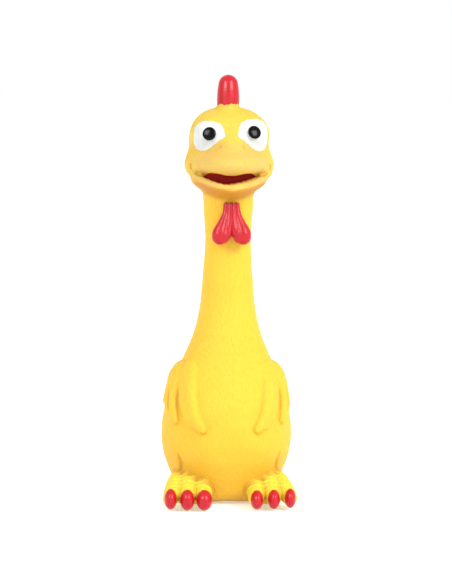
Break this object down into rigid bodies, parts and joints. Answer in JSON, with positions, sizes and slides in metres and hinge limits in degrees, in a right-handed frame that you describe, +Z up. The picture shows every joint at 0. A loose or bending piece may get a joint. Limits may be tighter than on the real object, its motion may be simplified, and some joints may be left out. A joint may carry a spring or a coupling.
{
  "type": "rubber chicken",
  "caption": "Standing latex squeeze chicken with a bendable neck, soft comb, wattles and beak, pressable belly and back, and a reed squeaker in its base.",
  "frame": {"origin": "on the floor, under the middle of the toy's box", "axes": "+Z up along the body and neck, the beak and toes point along -Y, +X is the chicken's left side"},
  "size_m": [0.0856, 0.0971, 0.28],
  "materials": {
    "latex_yellow": "matt latex, yellow, slightly translucent, fine moulded texture",
    "latex_amber": "matt latex, yellow shading to orange underneath",
    "paint_red": "red latex paint, satin",
    "paint_maroon": "dark red latex paint, matt",
    "paint_white": "white latex paint, satin",
    "paint_black": "black paint, glossy",
    "squeaker_plastic": "moulded polyethylene, satin",
    "reed_brass": "rolled sheet, satin"
  },
  "bodies": {
    "torso": {"torso_skin": "latex_yellow", "wing_left": "latex_yellow", "wing_right": "latex_yellow", "foot_left": "latex_yellow", "foot_right": "latex_yellow", "toenail_inner_left": "paint_red", "toenail_inner_right": "paint_red", "toenail_middle_left": "paint_red", "toenail_middle_right": "paint_red", "toenail_outer_left": "paint_red", "toenail_outer_right": "paint_red", "squeaker_housing": "squeaker_plastic", "squeaker_grille": "squeaker_plastic", "squeaker_cap": "squeaker_plastic", "reed_block": "squeaker_plastic", "reed_clamp": "squeaker_plastic"},
    "reed": {"reed_tongue": "reed_brass"},
    "belly": {"belly_panel": "latex_yellow"},
    "back": {"back_panel": "latex_yellow", "tail": "latex_yellow"},
    "neck_low": {"neck_lower": "latex_yellow"},
    "neck_mid": {"neck_middle": "latex_yellow"},
    "neck_up": {"neck_upper": "latex_yellow"},
    "head": {"head_skin": "latex_yellow", "eye_white_left": "paint_white", "eye_white_right": "paint_white", "pupil_left": "paint_black", "pupil_right": "paint_black", "mouth_lining": "paint_maroon"},
    "jaw": {"lower_beak": "latex_amber"},
    "comb": {"comb": "paint_red"},
    "wattle_l": {"wattle_left": "paint_red"},
    "wattle_r": {"wattle_right": "paint_red"}
  },
  "joints": [
    {"name": "neck_bend", "type": "hinge", "parent": "torso", "child": "neck_low", "pos_m": [0, 0, 0.118], "axis": [1, 0, 0], "range_deg": [-15, 15], "stiffness_Nm_per_rad": 1.2},
    {"name": "neck_sway", "type": "hinge", "parent": "neck_low", "child": "neck_mid", "pos_m": [0, 0, 0.15], "axis": [0, 1, 0], "range_deg": [-15, 15], "stiffness_Nm_per_rad": 1},
    {"name": "neck_turn", "type": "hinge", "parent": "neck_mid", "child": "neck_up", "pos_m": [0, 0, 0.167], "axis": [0, 0, 1], "range_deg": [-25, 25], "stiffness_Nm_per_rad": 0.5},
    {"name": "head_nod", "type": "hinge", "parent": "neck_up", "child": "head", "pos_m": [0, 0, 0.204], "axis": [1, 0, 0], "range_deg": [-20, 8], "stiffness_Nm_per_rad": 1},
    {"name": "jaw_flex", "type": "hinge", "parent": "head", "child": "jaw", "pos_m": [0, -0.016, 0.2135], "axis": [-1, 0, 0], "range_deg": [-5, 8], "stiffness_Nm_per_rad": 0.3},
    {"name": "comb_flex", "type": "hinge", "parent": "head", "child": "comb", "pos_m": [0, 0, 0.2595], "axis": [0, 1, 0], "range_deg": [-25, 25], "stiffness_Nm_per_rad": 0.3},
    {"name": "wattle_left_flap", "type": "hinge", "parent": "neck_up", "child": "wattle_l", "pos_m": [0, -0.0175, 0.1945], "axis": [-1, 0, 0], "range_deg": [0, 35], "stiffness_Nm_per_rad": 0.05},
    {"name": "wattle_right_flap", "type": "hinge", "parent": "neck_up", "child": "wattle_r", "pos_m": [0, -0.0175, 0.1945], "axis": [-1, 0, 0], "range_deg": [0, 35], "stiffness_Nm_per_rad": 0.05},
    {"name": "belly_press", "type": "slide", "parent": "torso", "child": "belly", "axis": [0, 1, 0], "range_m": [0, 0.008], "stiffness_N_per_m": 600},
    {"name": "back_press", "type": "slide", "parent": "torso", "child": "back", "axis": [0, -1, 0], "range_m": [0, 0.008], "stiffness_N_per_m": 600},
    {"name": "reed_flex", "type": "hinge", "parent": "torso", "child": "reed", "pos_m": [0, 0.002, 0.0095], "axis": [1, 0, 0], "range_deg": [-3, 2.5], "stiffness_Nm_per_rad": 0.02}
  ]
}
